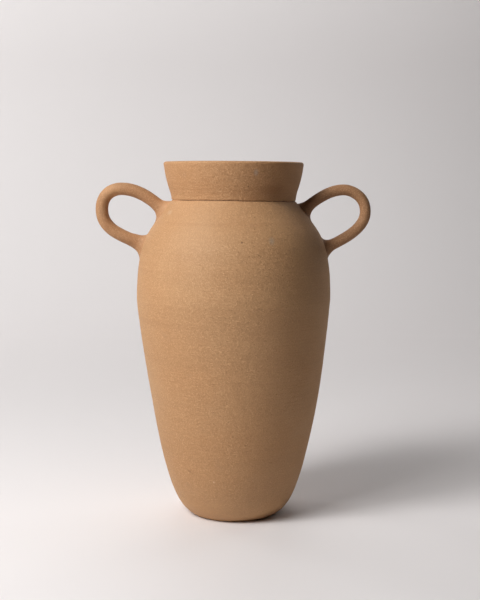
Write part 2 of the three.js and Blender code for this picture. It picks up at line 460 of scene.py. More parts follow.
@dataclass(frozen=True)
class WheelMotion:
    """How the finger rings and the slow unevenness of thrown clay run round and up the jar."""

    ring_turn: float = 0.3
    ring_scale: float = 1.0
    slow_climb: float = 0.12
    slow_scale: float = 0.8
    slow_seed: float = 7.0

    def tree(self) -> bpy.types.NodeTree:
        """Builds the tree that throws a profile on the wheel.

        It takes the profile's points, as X for radius and Z for height, and turns them round the
        upright axis. Where the points are marked as thrown, it adds rings and a small unevenness.

        Returns:
            The finished tree.
        """
        inputs = {
            "Geometry": "Geometry",
            "Turn Steps": "Int",
            "Ring Spacing": "Float",
            "Ring Height": "Float",
            "Wobble": "Float",
            "Seed": "Float",
            "Material": "Material",
        }
        w = new_tree("turned_clay", "GeometryNodeTree", inputs, {"Geometry": "Geometry"})
        given = w.add("NodeGroupInput").outputs
        sheet = BentSheet(w, given["Geometry"], given["Turn Steps"])
        east, north = sheet.cosine, sheet.sine
        point, thrown = w.parts(sheet.middle()), sheet.carried("thrown")
        along = w.math("DIVIDE", point["Z"], given["Ring Spacing"])
        ring_east, ring_north = (w.math("MULTIPLY", way, self.ring_turn) for way in (east, north))
        ring_noise = w.noise(w.joined(ring_east, ring_north, along), self.ring_scale, 1.0, given["Seed"])
        slow_place = w.joined(east, north, w.math("MULTIPLY", along, self.slow_climb))
        slow_seed = w.math("ADD", given["Seed"], self.slow_seed)
        slow_noise = w.noise(slow_place, self.slow_scale, 1.0, slow_seed)
        rings = w.math("MULTIPLY", w.math("SUBTRACT", ring_noise, 0.5), given["Ring Height"])
        slow = w.math("MULTIPLY", w.math("SUBTRACT", slow_noise, 0.5), given["Wobble"])
        radius = w.math("ADD", point["X"], w.math("MULTIPLY", w.math("ADD", rings, slow), thrown))
        turned = w.joined(w.math("MULTIPLY", radius, east), w.math("MULTIPLY", radius, north), point["Z"])
        return sheet.bent(turned, given["Material"])


@dataclass(frozen=True)
class CoilWork:
    """How far from the wall, in metres, the rays that lay a coil's ends on it start and how far they go."""

    ray_start: float = 0.03
    ray_length: float = 0.09

    def tree(self) -> bpy.types.NodeTree:
        """Builds the tree that rolls a coil along a path and works its ends on to a wall.

        Each point of the path carries the outward direction of the loop, how far the clay reaches
        from the middle, the place and the directions of the nearer root, and how much the clay
        follows the real wall there in place of a flat one.

        Returns:
            The finished tree.
        """
        inputs = {
            "Geometry": "Geometry",
            "Wall": "Object",
            "Sides": "Int",
            "Unevenness": "Float",
            "Uneven Length": "Float",
            "Seed": "Float",
            "Material": "Material",
        }
        w = new_tree("swept_coil", "GeometryNodeTree", inputs, {"Geometry": "Geometry"})
        given = w.add("NodeGroupInput").outputs
        sheet = BentSheet(w, given["Geometry"], given["Sides"])
        across, out = sheet.cosine, sheet.sine
        side_share = w.math("MULTIPLY", across, across)
        rest = w.math("SUBTRACT", 1.0, side_share)
        outer_share = w.math("MULTIPLY", rest, w.math("GREATER_THAN", out, 0.0))
        shares = {"outer": outer_share, "inner": w.math("SUBTRACT", rest, outer_share)}
        reach = w.math("MULTIPLY", side_share, sheet.carried("reach_side"))
        for name, share in shares.items():
            reach = w.math("ADD", reach, w.math("MULTIPLY", share, sheet.carried(f"reach_{name}")))
        across_ray = w.scaled((0.0, 1.0, 0.0), across)
        ray = w.vector("ADD", across_ray, w.scaled(sheet.carried("outward", "FLOAT_VECTOR"), out))
        level = w.vector("ADD", sheet.middle(), w.scaled(ray, reach))
        root_along = sheet.carried("root_along", "FLOAT_VECTOR")
        root_out = w.scaled(sheet.carried("root_outward", "FLOAT_VECTOR"), out)
        root_ray = w.vector("ADD", across_ray, root_out)
        flat = w.vector("ADD", sheet.carried("root", "FLOAT_VECTOR"), w.scaled(root_ray, reach))
        wall = w.add("GeometryNodeObjectInfo", {"Object": given["Wall"]}).outputs
        cast = {
            "Target Geometry": wall["Geometry"],
            "Source Position": w.vector("ADD", flat, w.scaled(root_along, self.ray_start)),
            "Ray Direction": w.scaled(root_along, -1.0),
            "Ray Length": self.ray_length,
        }
        hit = w.add("GeometryNodeRaycast", cast).outputs
        follow = w.math("MULTIPLY", sheet.carried("follow"), hit["Is Hit"])
        shift = w.scaled(w.vector("SUBTRACT", hit["Hit Position"], flat), follow)
        shaped = w.vector("ADD", level, shift)
        spot = w.scaled(shaped, w.math("DIVIDE", 1.0, given["Uneven Length"]))
        uneven = w.math("SUBTRACT", w.noise(spot, 1.0, 2.0, given["Seed"]), 0.5)
        free = w.math("SUBTRACT", 1.0, follow)
        push = w.math("MULTIPLY", w.math("MULTIPLY", uneven, given["Unevenness"]), free)
        return sheet.bent(w.vector("ADD", shaped, w.scaled(ray, push)), given["Material"])


def point_object(name: str, points: np.ndarray, marks: dict[str, np.ndarray]) -> bpy.types.Object:
    """Makes an object of loose points that carry named values.

    Args:
        name: The name of the piece.
        points: The points in metres.
        marks: A number or a vector for each point, by name.

    Returns:
        The new object.
    """
    mesh = bpy.data.meshes.new(name)
    mesh.from_pydata(points.tolist(), [], [])
    for label, values in marks.items():
        kind, key = ("FLOAT_VECTOR", "vector") if values.ndim == 2 else ("FLOAT", "value")
        mesh.attributes.new(label, kind, "POINT").data.foreach_set(key, values.astype(np.float32).ravel())
    made = bpy.data.objects.new(name, mesh)
    bpy.context.scene.collection.objects.link(made)
    return made


def worked(piece: bpy.types.Object, tree: bpy.types.NodeTree, values: dict[str, object]) -> None:
    """Runs a tree on an object and keeps the result as its plain mesh, with its faces outwards.

    Args:
        piece: The object that the tree starts from.
        tree: The Geometry Nodes tree.
        values: What its named inputs get.
    """
    modifier = piece.modifiers.new(tree.name, "NODES")
    modifier.node_group = tree
    for item in tree.interface.items_tree:
        if item.item_type == "SOCKET" and item.in_out == "INPUT" and item.name in values:
            modifier[item.identifier] = values[item.name]
    bpy.context.view_layer.update()
    evaluated = piece.evaluated_get(bpy.context.evaluated_depsgraph_get())
    mesh = bpy.data.meshes.new_from_object(evaluated)
    piece.modifiers.remove(modifier)
    piece.data = mesh
    mesh.name = piece.name
    face_outwards(mesh)


def face_outwards(mesh: bpy.types.Mesh) -> None:
    """Turns all the faces of a closed mesh round if they point inwards."""
    mesh.calc_loop_triangles()
    corners = np.empty(len(mesh.loop_triangles) * 3, dtype=np.int64)
    mesh.loop_triangles.foreach_get("vertices", corners)
    place = np.empty(len(mesh.vertices) * 3)
    mesh.vertices.foreach_get("co", place)
    a, b, c = place.reshape(-1, 3)[corners.reshape(-1, 3)].transpose(1, 0, 2)
    if float(np.sum(a * np.cross(b, c))) < 0:
        mesh.flip_normals()


@dataclass(frozen=True)
class SandGrain:
    """How the grain of sandy clay is mixed. A pair is where a soft step starts and where it ends."""

    coarse_scale: float = 0.42
    fine_share: float = 0.85
    coarse_share: float = 0.15
    grit_edge: Pair = (0.1, 0.42)
    pale_pick: Pair = (0.8, 0.9)
    dark_pick: Pair = (0.94, 0.98)
    grit_relief: float = 0.35
    tilt_gain: float = 4.0
    cloud_step: Pair = (0.36, 0.64)
    cloud_share: float = 0.2
    grain_step: Pair = (0.55, 1.0)

    def group(self) -> bpy.types.NodeTree:
        """Builds the group for sandy clay: a fine grain with pale and dark grit in it."""
        inputs = {"Vector": "Vector", "Grain Scale": "Float", "Grit Scale": "Float", "Seed": "Float"}
        outputs = {
            "Height": "Float",
            "Tilt": "Vector",
            "Pale Grit": "Float",
            "Dark Grit": "Float",
            "Tone": "Float",
        }
        w = new_tree("clay_grain", "ShaderNodeTree", inputs, outputs)
        given = w.add("NodeGroupInput").outputs
        place, seed = given["Vector"], given["Seed"]
        fine = w.noise(place, given["Grain Scale"], 2.0, seed)
        coarse = w.noise(place, w.math("MULTIPLY", given["Grain Scale"], self.coarse_scale), 1.0, seed)
        grit = w.cells(place, given["Grit Scale"])
        near = w.math("SUBTRACT", 1.0, w.ramp(grit["Distance"], *self.grit_edge))
        pick = w.channels(grit["Color"])
        pale = w.math("MULTIPLY", near, w.ramp(pick[0], *self.pale_pick))
        dark = w.math("MULTIPLY", near, w.ramp(pick[1], *self.dark_pick))
        fine_part = w.math("MULTIPLY", fine, self.fine_share)
        body = w.math("ADD", fine_part, w.math("MULTIPLY", coarse, self.coarse_share))
        relief = w.math("MULTIPLY", w.math("SUBTRACT", pale, dark), self.grit_relief)
        sand = w.cells(place, given["Grain Scale"])
        lean = w.vector("SUBTRACT", sand["Color"], (0.5, 0.5, 0.5))
        steep = w.add("ShaderNodeVectorMath", {0: lean, 1: lean}, operation="DOT_PRODUCT").outputs["Value"]
        cloud = w.math("MULTIPLY", w.ramp(fine, *self.cloud_step), self.cloud_share)
        grain = w.ramp(w.channels(sand["Color"])[2], *self.grain_step)
        outgoing = {
            "Height": w.math("ADD", body, relief),
            "Tilt": w.scaled(lean, w.math("MULTIPLY", steep, self.tilt_gain)),
            "Pale Grit": pale,
            "Dark Grit": dark,
            "Tone": w.math("ADD", cloud, grain),
        }
        w.add("NodeGroupOutput", outgoing)
        return w.tree


@dataclass(frozen=True)
class BandDraw:
    """How far the level bands and lines of throwing are drawn out round the jar, and how sharp they are."""

    band_across: float = 5.0
    band_step: Pair = (0.32, 0.68)
    line_across: float = 14.0
    line_step: Pair = (0.3, 0.7)

    def group(self) -> bpy.types.NodeTree:
        """Builds the group for the level bands that fingers and a rib leave on thrown clay."""
        inputs = {"Vector": "Vector", "Band Scale": "Float", "Line Scale": "Float", "Seed": "Float"}
        w = new_tree("throwing_bands", "ShaderNodeTree", inputs, {"Bands": "Float", "Lines": "Float"})
        given = w.add("NodeGroupInput").outputs
        parts = w.parts(given["Vector"])

        def banded(scale: bpy.types.NodeSocket, across: float, detail: float) -> bpy.types.NodeSocket:
            """A cloudy value that is drawn out round the jar."""
            level = [w.math("MULTIPLY", parts[axis], across) for axis in ("X", "Y")]
            place = w.joined(*level, w.math("MULTIPLY", parts["Z"], scale))
            return w.noise(place, 1.0, detail, given["Seed"])

        bands = w.ramp(banded(given["Band Scale"], self.band_across, 2.0), *self.band_step)
        lines = w.ramp(banded(given["Line Scale"], self.line_across, 1.0), *self.line_step)
        w.add("NodeGroupOutput", {"Bands": bands, "Lines": lines})
        return w.tree


@dataclass(frozen=True)
class KilnStains:
    """How soft the stains of the firing are, and how many pits there are and how large."""

    blotch_step: Pair = (0.3, 0.7)
    smudge_step: Pair = (0.62, 0.8)
    pit_scale: float = 95.0
    pit_edge: Pair = (0.03, 0.07)
    pit_pick: float = 0.95

    def group(self) -> bpy.types.NodeTree:
        """Builds the group for the broad stains of the firing and the small smudges of handling."""
        inputs = {"Vector": "Vector", "Blotch Scale": "Float", "Smudge Scale": "Float", "Seed": "Float"}
        outputs = {"Blotch": "Float", "Smudge": "Float", "Pits": "Float"}
        w = new_tree("kiln_blotch", "ShaderNodeTree", inputs, outputs)
        given = w.add("NodeGroupInput").outputs
        place, seed = given["Vector"], given["Seed"]
        blotch = w.ramp(w.noise(place, given["Blotch Scale"], 3.0, seed), *self.blotch_step)
        smudge = w.ramp(w.noise(place, given["Smudge Scale"], 2.0, seed), *self.smudge_step)
        cells = w.cells(place, self.pit_scale)
        spot = w.math("SUBTRACT", 1.0, w.ramp(cells["Distance"], *self.pit_edge))
        chosen = w.math("GREATER_THAN", w.channels(cells["Color"])[2], self.pit_pick)
        outgoing = {"Blotch": blotch, "Smudge": smudge, "Pits": w.math("MULTIPLY", spot, chosen)}
        w.add("NodeGroupOutput", outgoing)
        return w.tree


def mark_or_painted_light_group() -> bpy.types.NodeTree:
    """Builds the group for one mark at a named place, real or painted light or shade: an oval that fades
    out at its edge.
    """
    inputs = {"Vector": "Vector", "Place": "Vector", "Turn": "Vector", "Size": "Vector", "Soft": "Float"}
    w = new_tree("clay_mark", "ShaderNodeTree", inputs, {"Mask": "Float"})
    given = w.add("NodeGroupInput").outputs
    names = {"Vector": "Vector", "Location": "Place", "Rotation": "Turn", "Scale": "Size"}
    placed = {socket: given[name] for socket, name in names.items()}
    spot = w.add("ShaderNodeMapping", placed, vector_type="TEXTURE").outputs[0]
    away = w.add("ShaderNodeVectorMath", {0: spot}, operation="LENGTH").outputs["Value"]
    w.add("NodeGroupOutput", {"Mask": w.math("SUBTRACT", 1.0, w.ramp(away, given["Soft"], 1.0))})
    return w.tree


@dataclass(frozen=True)
class MarkOrPaintedLight:
    """One oval of colour on the clay, a real mark or a patch of painted light or shade: its place and half
    size in millimetres, its turn, colour and strength.

    Soft says how much of the oval is full before it fades, and at 0 it fades from the middle.
    """

    place: Triple
    half_size: Triple
    colour: Colour
    share: float
    turn: float = 0.0
    soft: float = 0.0

    def values(self) -> dict[str, object]:
        """What the group for marks gets."""
        return {
            "Place": tuple(part * MM for part in self.place),
            "Turn": (0.0, math.radians(self.turn), 0.0),
            "Size": tuple(part * MM for part in self.half_size),
            "Soft": self.soft,
        }


# Colours of marks that more than one piece has.
PIT_BROWN = (0.12, 0.06, 0.03)
# The root brown is painted shade: under the handles' roots, where it is partly darker worked clay, and on
# the shaded foot of the neck.
ROOT_SHADE_BROWN = (0.28, 0.128, 0.05)
BAND_BROWN = (0.36, 0.18, 0.08)
# The level bands, in millimetres: the middle's X, the height, the half width, the half height and
# the strength of each, and their one half depth, which passes right through the jar.
BAND_DEPTH = 300.0
LEVEL_BANDS = (
    (-20.0, 316.1, 300.0, 3.0, 0.22),
    (-90.0, 267.3, 160.0, 3.0, 0.2),
    (-90.0, 214.8, 160.0, 3.5, 0.16),
    (0.0, 155.8, 300.0, 2.5, 0.14),
    (0.0, 85.0, 300.0, 2.5, 0.16),
)


def level_bands() -> tuple[MarkOrPaintedLight, ...]:
    """The faint darker bands that run level across the body.

    Returns:
        A flat mark for each.
    """
    return tuple(
        MarkOrPaintedLight((x, 0.0, z), (wide, BAND_DEPTH, high), BAND_BROWN, share)
        for x, z, wide, high, share in LEVEL_BANDS
    )


@dataclass(frozen=True)
class ClayFinish:
    """One fired clay: its colours and how strong each of its marks is. Some of the marks are painted light
    or shade.
    """

    name: str
    clay: Colour = (0.445, 0.248, 0.115)
    clay_warm: Colour = (0.426, 0.224, 0.099)
    band: Colour = (0.383, 0.205, 0.092)
    pale_grit: Colour = (0.72, 0.43, 0.22)
    dark_grit: Colour = (0.25, 0.127, 0.06)
    smudge: Colour = (0.3, 0.175, 0.1)
    grain_scale: float = 1500.0
    grain_depth: float = 0.0002
    grain_tilt: float = 0.24
    grit_scale: float = 820.0
    grit_share: float = 0.5
    band_scale: float = 46.0
    band_share: float = 0.45
    line_scale: float = 420.0
    band_depth: float = 0.00008
    blotch_scale: float = 11.0
    smudge_scale: float = 46.0
    smudge_share: float = 0.25
    tone_share: float = 0.28
    pit_share: float = 0.5
    pit_depth: float = 1.5
    rough_low: float = 0.64
    rough_high: float = 0.78
    refraction: float = 1.45
    gloss: float = 0.5
    sheen: float = 0.08
    sheen_rough: float = 0.4
    sheen_tint: Colour = (1.0, 0.7, 0.44)
    seed: float = 0.0
    marks: tuple[MarkOrPaintedLight, ...] = ()

    def material(self, groups: dict[str, bpy.types.NodeTree]) -> bpy.types.Material:
        """Builds the material.

        Args:
            groups: The shared node groups by name.

        Returns:
            The new material.
        """
        made, w = new_material(self.name)
        place = w.add("ShaderNodeTexCoord").outputs["Object"]

        def group(name: str, values: dict[str, object]) -> bpy.types.NodeOutputs:
            """One of the shared groups with this clay's values."""
            return w.add("ShaderNodeGroup", {"Vector": place, **values}, node_tree=groups[name]).outputs

        def seeded(name: str, **scales: float) -> bpy.types.NodeOutputs:
            """A shared group that also takes this clay's seed."""
            values = {f"{label.title()} Scale": value for label, value in scales.items()}
            return group(name, {**values, "Seed": self.seed})

        grain = seeded("clay_grain", grain=self.grain_scale, grit=self.grit_scale)
        bands = seeded("throwing_bands", band=self.band_scale, line=self.line_scale)
        kiln = seeded("kiln_blotch", blotch=self.blotch_scale, smudge=self.smudge_scale)
        layers = [
            (bands["Bands"], self.band_share, self.band),
            (grain["Tone"], self.tone_share, self.pale_grit),
            (grain["Pale Grit"], self.grit_share, self.pale_grit),
            (grain["Dark Grit"], self.grit_share, self.dark_grit),
            (kiln["Smudge"], self.smudge_share, self.smudge),
            (kiln["Pits"], self.pit_share, self.dark_grit),
        ]
        for mark in self.marks:
            layers.append((group("clay_mark", mark.values())["Mask"], mark.share, mark.colour))
        colour = w.blend(kiln["Blotch"], self.clay, self.clay_warm)
        for mask, share, stain in layers:
            colour = w.blend(w.math("MULTIPLY", mask, share), colour, stain)
        roughness = {"Value": kiln["Blotch"], "To Min": self.rough_low, "To Max": self.rough_high}
        lines = {"Strength": 1.0, "Distance": self.band_depth, "Height": bands["Lines"]}
        surface = {
            "Strength": 1.0,
            "Distance": self.grain_depth,
            "Height": w.math("SUBTRACT", grain["Height"], w.math("MULTIPLY", kiln["Pits"], self.pit_depth)),
            "Normal": w.add("ShaderNodeBump", lines).outputs[0],
        }
        bump = w.add("ShaderNodeBump", surface).outputs[0]
        tilted = w.vector("ADD", bump, w.scaled(grain["Tilt"], self.grain_tilt))
        shader = w.add(
            "ShaderNodeBsdfPrincipled",
            {
                "Base Color": colour,
                "Roughness": w.add("ShaderNodeMapRange", roughness).outputs[0],
                "Normal": w.vector("NORMALIZE", tilted),
                "Metallic": 0.0,
                "IOR": self.refraction,
                "Specular IOR Level": self.gloss,
                "Sheen Weight": self.sheen,
                "Sheen Roughness": self.sheen_rough,
                "Sheen Tint": self.sheen_tint,
            },
        )
        w.add("ShaderNodeOutputMaterial", {"Surface": shader.outputs[0]})
        return made


class Clay(Enum):
    """The fired clays of the jar's pieces."""

    BODY = ClayFinish(
        "sandy_clay_body",
        seed=1.3,
        marks=(
            # Painted light: the lowest part of the body is lighter all round, where light from the floor
            # falls on it.
            MarkOrPaintedLight((0.0, 0.0, 4.0), (120.0, 120.0, 32.0), (0.58, 0.325, 0.16), 0.6),
            MarkOrPaintedLight((37.8, -83.7, 299.4), (4.5, 9.0, 6.0), (0.34, 0.28, 0.21), 0.6),
            MarkOrPaintedLight((-66.0, -35.0, 327.0), (6.0, 8.0, 4.0), (0.55, 0.4, 0.27), 0.35),
            MarkOrPaintedLight((-48.0, -66.0, 59.5), (11.0, 14.0, 1.4), (0.2, 0.1, 0.045), 0.55, turn=33.0),
            MarkOrPaintedLight((8.2, -91.7, 298.8), (1.4, 8.0, 1.4), PIT_BROWN, 0.8, soft=0.2),
            MarkOrPaintedLight((-20.7, -74.7, 49.5), (1.4, 8.0, 1.4), (0.85, 0.6, 0.42), 0.8, soft=0.2),
            *level_bands(),
        ),
    )
    NECK = ClayFinish(
        "sandy_clay_neck",
        clay=(0.427, 0.228, 0.101),
        clay_warm=(0.407, 0.203, 0.086),
        band=(0.362, 0.185, 0.080),
        band_share=0.35,
        seed=4.1,
        marks=(
            # Painted shade: the right side of the neck, turned away from the light, is darker.
            MarkOrPaintedLight((66.0, -42.0, 358.0), (50.0, 60.0, 34.0), (0.32, 0.165, 0.074), 0.45),
            # Painted shade: the lower right of the neck, just above the joint, is darker still.
            MarkOrPaintedLight((43.0, -56.0, 350.0), (22.0, 30.0, 12.0), ROOT_SHADE_BROWN, 0.7),
            MarkOrPaintedLight((14.9, -69.8, 354.0), (1.3, 5.0, 1.3), PIT_BROWN, 0.7, soft=0.2),
            MarkOrPaintedLight((22.5, -68.8, 368.0), (3.6, 7.0, 5.0), (0.42, 0.34, 0.27), 0.55),
        ),
    )
    LEFT_COIL = ClayFinish(
        "sandy_clay_left_coil",
        clay=(0.373, 0.189, 0.085),
        clay_warm=(0.345, 0.167, 0.072),
        band=(0.317, 0.156, 0.068),
        band_share=0.1,
        band_depth=0.00003,
        seed=8.6,
        marks=(
            # Painted light on the top of the loop, which faces the light.
            MarkOrPaintedLight((-131.0, -8.0, 350.0), (20.0, 14.0, 12.0), (0.56, 0.31, 0.15), 0.5),
            # Painted shade on the loop's outer bend below its tip, on the side turned from the light.
            MarkOrPaintedLight((-134.0, -8.0, 318.0), (9.0, 14.0, 18.0), (0.33, 0.14, 0.055), 0.35),
            MarkOrPaintedLight((-110.0, -8.0, 294.3), (2.8, 5.0, 2.4), (0.2, 0.1, 0.05), 0.4),
            # Painted shade under the lower root, partly darker worked clay.
            MarkOrPaintedLight((-112.0, -6.0, 293.0), (20.0, 18.0, 11.0), ROOT_SHADE_BROWN, 0.55),
            # Painted light where the upper root meets the wall, on the side that faces the light.
            MarkOrPaintedLight((-73.0, -10.0, 334.0), (15.0, 24.0, 16.0), (0.5, 0.28, 0.14), 0.85),
        ),
    )
    RIGHT_COIL = ClayFinish(
        "sandy_clay_right_coil",
        # Painted shade: this clay is darker than the left coil's because this handle lies on the jar's
        # shaded side.
        clay=(0.324, 0.163, 0.075),
        clay_warm=(0.300, 0.145, 0.064),
        band=(0.276, 0.134, 0.059),
        band_share=0.1,
        band_depth=0.00003,
        seed=9.4,
        marks=(
            # Painted shade at the upper root and the lower root, which the body and the neck keep from the
            # light.
            MarkOrPaintedLight((88.0, -6.0, 337.0), (24.0, 22.0, 17.0), (0.22, 0.1, 0.042), 0.7),
            MarkOrPaintedLight((97.0, -6.0, 291.0), (18.0, 20.0, 11.0), (0.22, 0.105, 0.045), 0.7),
        ),
    )
    SLIP = ClayFinish(
        "joint_slip",
        clay=(0.27, 0.14, 0.065),
        clay_warm=(0.24, 0.12, 0.055),
        band=(0.2, 0.1, 0.045),
        seed=2.2,
        # Painted light: the slip is lighter on the left front, where light falls into the joint's groove.
        marks=(MarkOrPaintedLight((-64.0, -22.0, 339.5), (18.0, 44.0, 8.0), (0.75, 0.42, 0.21), 0.9),),
    )


@dataclass(frozen=True)
class ThrowingMarks:
    """The marks that throwing leaves on one piece, in millimetres, and how they fade to its edges."""

    turn_steps: int = 264
    ring_spacing: float = 8.0
    ring_height: float = 0.42
    wobble: float = 0.5
    seed: float = 3.0
    plain_edge: float = 1.0
    fade_low: float = 16.0
    fade_high: float = 8.0

    def strength(self, height: np.ndarray, top: float) -> np.ndarray:
        """How much clay takes the marks, from nothing at the edges to all of them.

        Args:
            height: How high each point is above the lower edge.
            top: The height of the upper edge.

        Returns:
            A share for each point.
        """
        rise = smooth((height - self.plain_edge) / self.fade_low)
        return rise * smooth((top - self.plain_edge - height) / self.fade_high)


@dataclass
class Workshop:
    """The trees, groups and materials that all the pieces are made with."""

    sizes: JarSizes = field(default_factory=JarSizes)
    kiln: KilnSettle = field(default_factory=KilnSettle)

    def __post_init__(self) -> None:
        """Builds the shared trees and the materials once."""
        self.turning = WheelMotion().tree()
        self.coiling = CoilWork().tree()
        groups = {
            "clay_grain": SandGrain().group(),
            "throwing_bands": BandDraw().group(),
            "kiln_blotch": KilnStains().group(),
            "clay_mark": mark_or_painted_light_group(),
        }
        self.materials = {clay: clay.value.material(groups) for clay in Clay}

    def throw(
        self, name: str, profile: np.ndarray, thrown: np.ndarray, clay: Clay, marks: ThrowingMarks
    ) -> bpy.types.Object:
        """Throws a profile on the wheel and lets it settle.

        Args:
            name: The name of the piece.
            profile: The closed profile in millimetres, as radius and height.
            thrown: How much each point takes the marks of throwing.
            clay: The clay of the piece.
            marks: The marks of throwing.

        Returns:
            The finished piece.
        """
        points = np.stack([profile[:, 0], np.zeros(len(profile)), profile[:, 1]], axis=1) * MM
        piece = point_object(name, points, {"thrown": thrown})
        values = {
            "Turn Steps": marks.turn_steps,
            "Ring Spacing": marks.ring_spacing * MM,
            "Ring Height": marks.ring_height * MM,
            "Wobble": marks.wobble * MM,
            "Seed": marks.seed,
            "Material": self.materials[clay],
        }
        worked(piece, self.turning, values)
        self.kiln.settle(piece.data)
        return piece


@dataclass
class JarBody:
    """The thrown body: a flat base, a side that widens to the belly, and a steep shoulder.

    The radii are those of the rings of points that close the base and the floor to their middle.
    The floor corner is how far in from the wall the floor ends, and how far above it the wall starts.
    """

    shop: Workshop
    marks: ThrowingMarks = ThrowingMarks()
    inner_marks: float = 1.6
    inner_fineness: float = 0.6
    lip_round: float = 0.7
    lip_steps: int = 5
    inner_lip_round: float = 0.5
    inner_lip_steps: int = 4
    base_radii: Triple = (0.0, 14.0, 28.0)
    floor_radii: Triple = (24.0, 10.0, 0.0)
    floor_corner: Pair = (3.0, 0.5)
    piece: bpy.types.Object | None = None

    @staticmethod
    def level_rings(radii: Triple, height: float) -> np.ndarray:
        """Points at some radii and one height."""
        return np.array([[radius, height] for radius in radii])

    def profile(self) -> tuple[np.ndarray, np.ndarray]:
        """The closed profile of the body's wall.

        Returns:
            The points as radius and height, and how much each takes the marks of throwing.
        """
        sizes = self.shop.sizes
        outer = sizes.outline()
        bore = sizes.neck_foot_radius - sizes.neck_wall
        under = sizes.body_height - sizes.lip_depth
        inset, rise = self.floor_corner
        inner = offset(sizes.outline(self.inner_fineness), sizes.body_wall)
        keep = (inner[:, 1] > sizes.floor_thickness + rise) & (inner[:, 1] < under)
        keep &= (inner[:, 1] < sizes.belly[1]) | (inner[:, 0] > bore)
        inner = inner[keep][::-1]
        lip, lip_inside = outer[-1], np.array([bore, sizes.body_height])
        lip_under = np.array([bore, under])
        pieces = [
            (self.level_rings(self.base_radii, 0.0), 0.0),
            (outer[:-1], 1.0),
            (rounded(lip, outer[-2], lip_inside, self.lip_round, self.lip_steps), 0.0),
            (rounded(lip_inside, lip, lip_under, self.inner_lip_round, self.inner_lip_steps), 0.0),
            (lip_under[None, :], 0.0),
            (inner, self.inner_marks),
            (np.array([[inner[-1, 0] - inset, sizes.floor_thickness]]), 0.0),
            (self.level_rings(self.floor_radii, sizes.floor_thickness), 0.0),
        ]
        points = np.concatenate([part for part, _ in pieces])
        thrown = np.concatenate([np.full(len(part), share) for part, share in pieces])
        return points, thrown * self.marks.strength(points[:, 1], sizes.body_height)

    def build(self) -> None:
        """Throws the body."""
        points, thrown = self.profile()
        self.piece = self.shop.throw("jar_body", points, thrown, Clay.BODY, self.marks)

    def dress(self) -> None:
        """Puts the body in the place of its frame node."""
        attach(self.piece, "root")
        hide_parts("body")


@dataclass
class JarNeck:
    """The flared collar, thrown by itself, with a soft rim."""

    shop: Workshop
    marks: ThrowingMarks = ThrowingMarks(
        ring_spacing=9.0, ring_height=0.3, wobble=0.35, seed=11.0, fade_low=6.0, fade_high=5.0
    )
    foot_round: float = 0.55
    foot_steps: int = 4
    flare_ease: Pair = (0.28, 0.65)
    flare_steps: int = 34
    rim_points: int = 9
    piece: bpy.types.Object | None = None

    def profile(self) -> tuple[np.ndarray, np.ndarray]:
        """The closed profile of the neck.

        Returns:
            The points as radius and height, and how much each takes the marks of throwing.
        """
        s = self.shop.sizes
        low = s.neck_foot
        foot = np.array([s.neck_foot_radius, low])
        lean = leaning(s.mouth_lean)
        top = low + s.neck_height
        shoulder = np.array([s.mouth_radius, top - s.rim_round * (1 + lean[0])])
        flare = eased(foot, leaning(s.neck_lean), shoulder, lean, self.flare_ease, self.flare_steps)
        inside = (flare - [s.neck_wall, 0.0])[::-1]
        centre = shoulder + s.rim_round * np.array([-lean[1], lean[0]])
        outer_rim = arc(centre, s.rim_round, -s.mouth_lean, 90, self.rim_points + 1)[1:]
        centre = np.array([inside[0, 0] + s.rim_round, centre[1]])
        inner_rim = arc(centre, s.rim_round, 90, 180, self.rim_points)
        bottom = rounded(inside[-1], inside[-2], foot, self.foot_round, self.foot_steps)
        start = rounded(foot, inside[-1], flare[1], self.foot_round, self.foot_steps)
        points = np.concatenate([start, flare[1:], outer_rim, inner_rim, inside[:-1], bottom, start[:1]])
        return points, self.marks.strength(points[:, 1] - low, s.neck_height)

    def build(self) -> None:
        """Throws the neck."""
        points, thrown = self.profile()
        self.piece = self.shop.throw("jar_neck", points, thrown, Clay.NECK, self.marks)

    def dress(self) -> None:
        """Puts the neck in the place of its frame node."""
        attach(self.piece, "root")
        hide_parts("neck")


@dataclass
class SlipBed:
    """The thin bed of slip between lip and neck, a little back from both walls."""

    shop: Workshop
    marks: ThrowingMarks = ThrowingMarks(ring_height=0.0, wobble=0.3, seed=5.0)
    bulge: float = 0.25
    edge_points: int = 7
    piece: bpy.types.Object | None = None

    def build(self) -> None:
        """Lays the bed of slip. Its edges bulge softly between the walls."""
        s, count = self.shop.sizes, self.edge_points
        low, high = s.body_height, s.neck_foot
        inner = s.neck_foot_radius - s.neck_wall + s.slip_setback
        outer = s.neck_foot_radius - s.slip_setback
        edge = np.sin(np.linspace(0, math.pi, count))[:, None] * [self.bulge, 0.0]
        up = np.linspace([outer, low], [outer, high], count) + edge
        down = np.linspace([inner, high], [inner, low], count) - edge
        profile = np.concatenate([up, down, up[:1]])
        thrown = np.ones(len(profile))
        self.piece = self.shop.throw("joint_slip_bed", profile, thrown, Clay.SLIP, self.marks)

    def dress(self) -> None:
        """Puts the slip in the place of its frame node."""
        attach(self.piece, "root")
        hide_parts("neck_slip_ring")


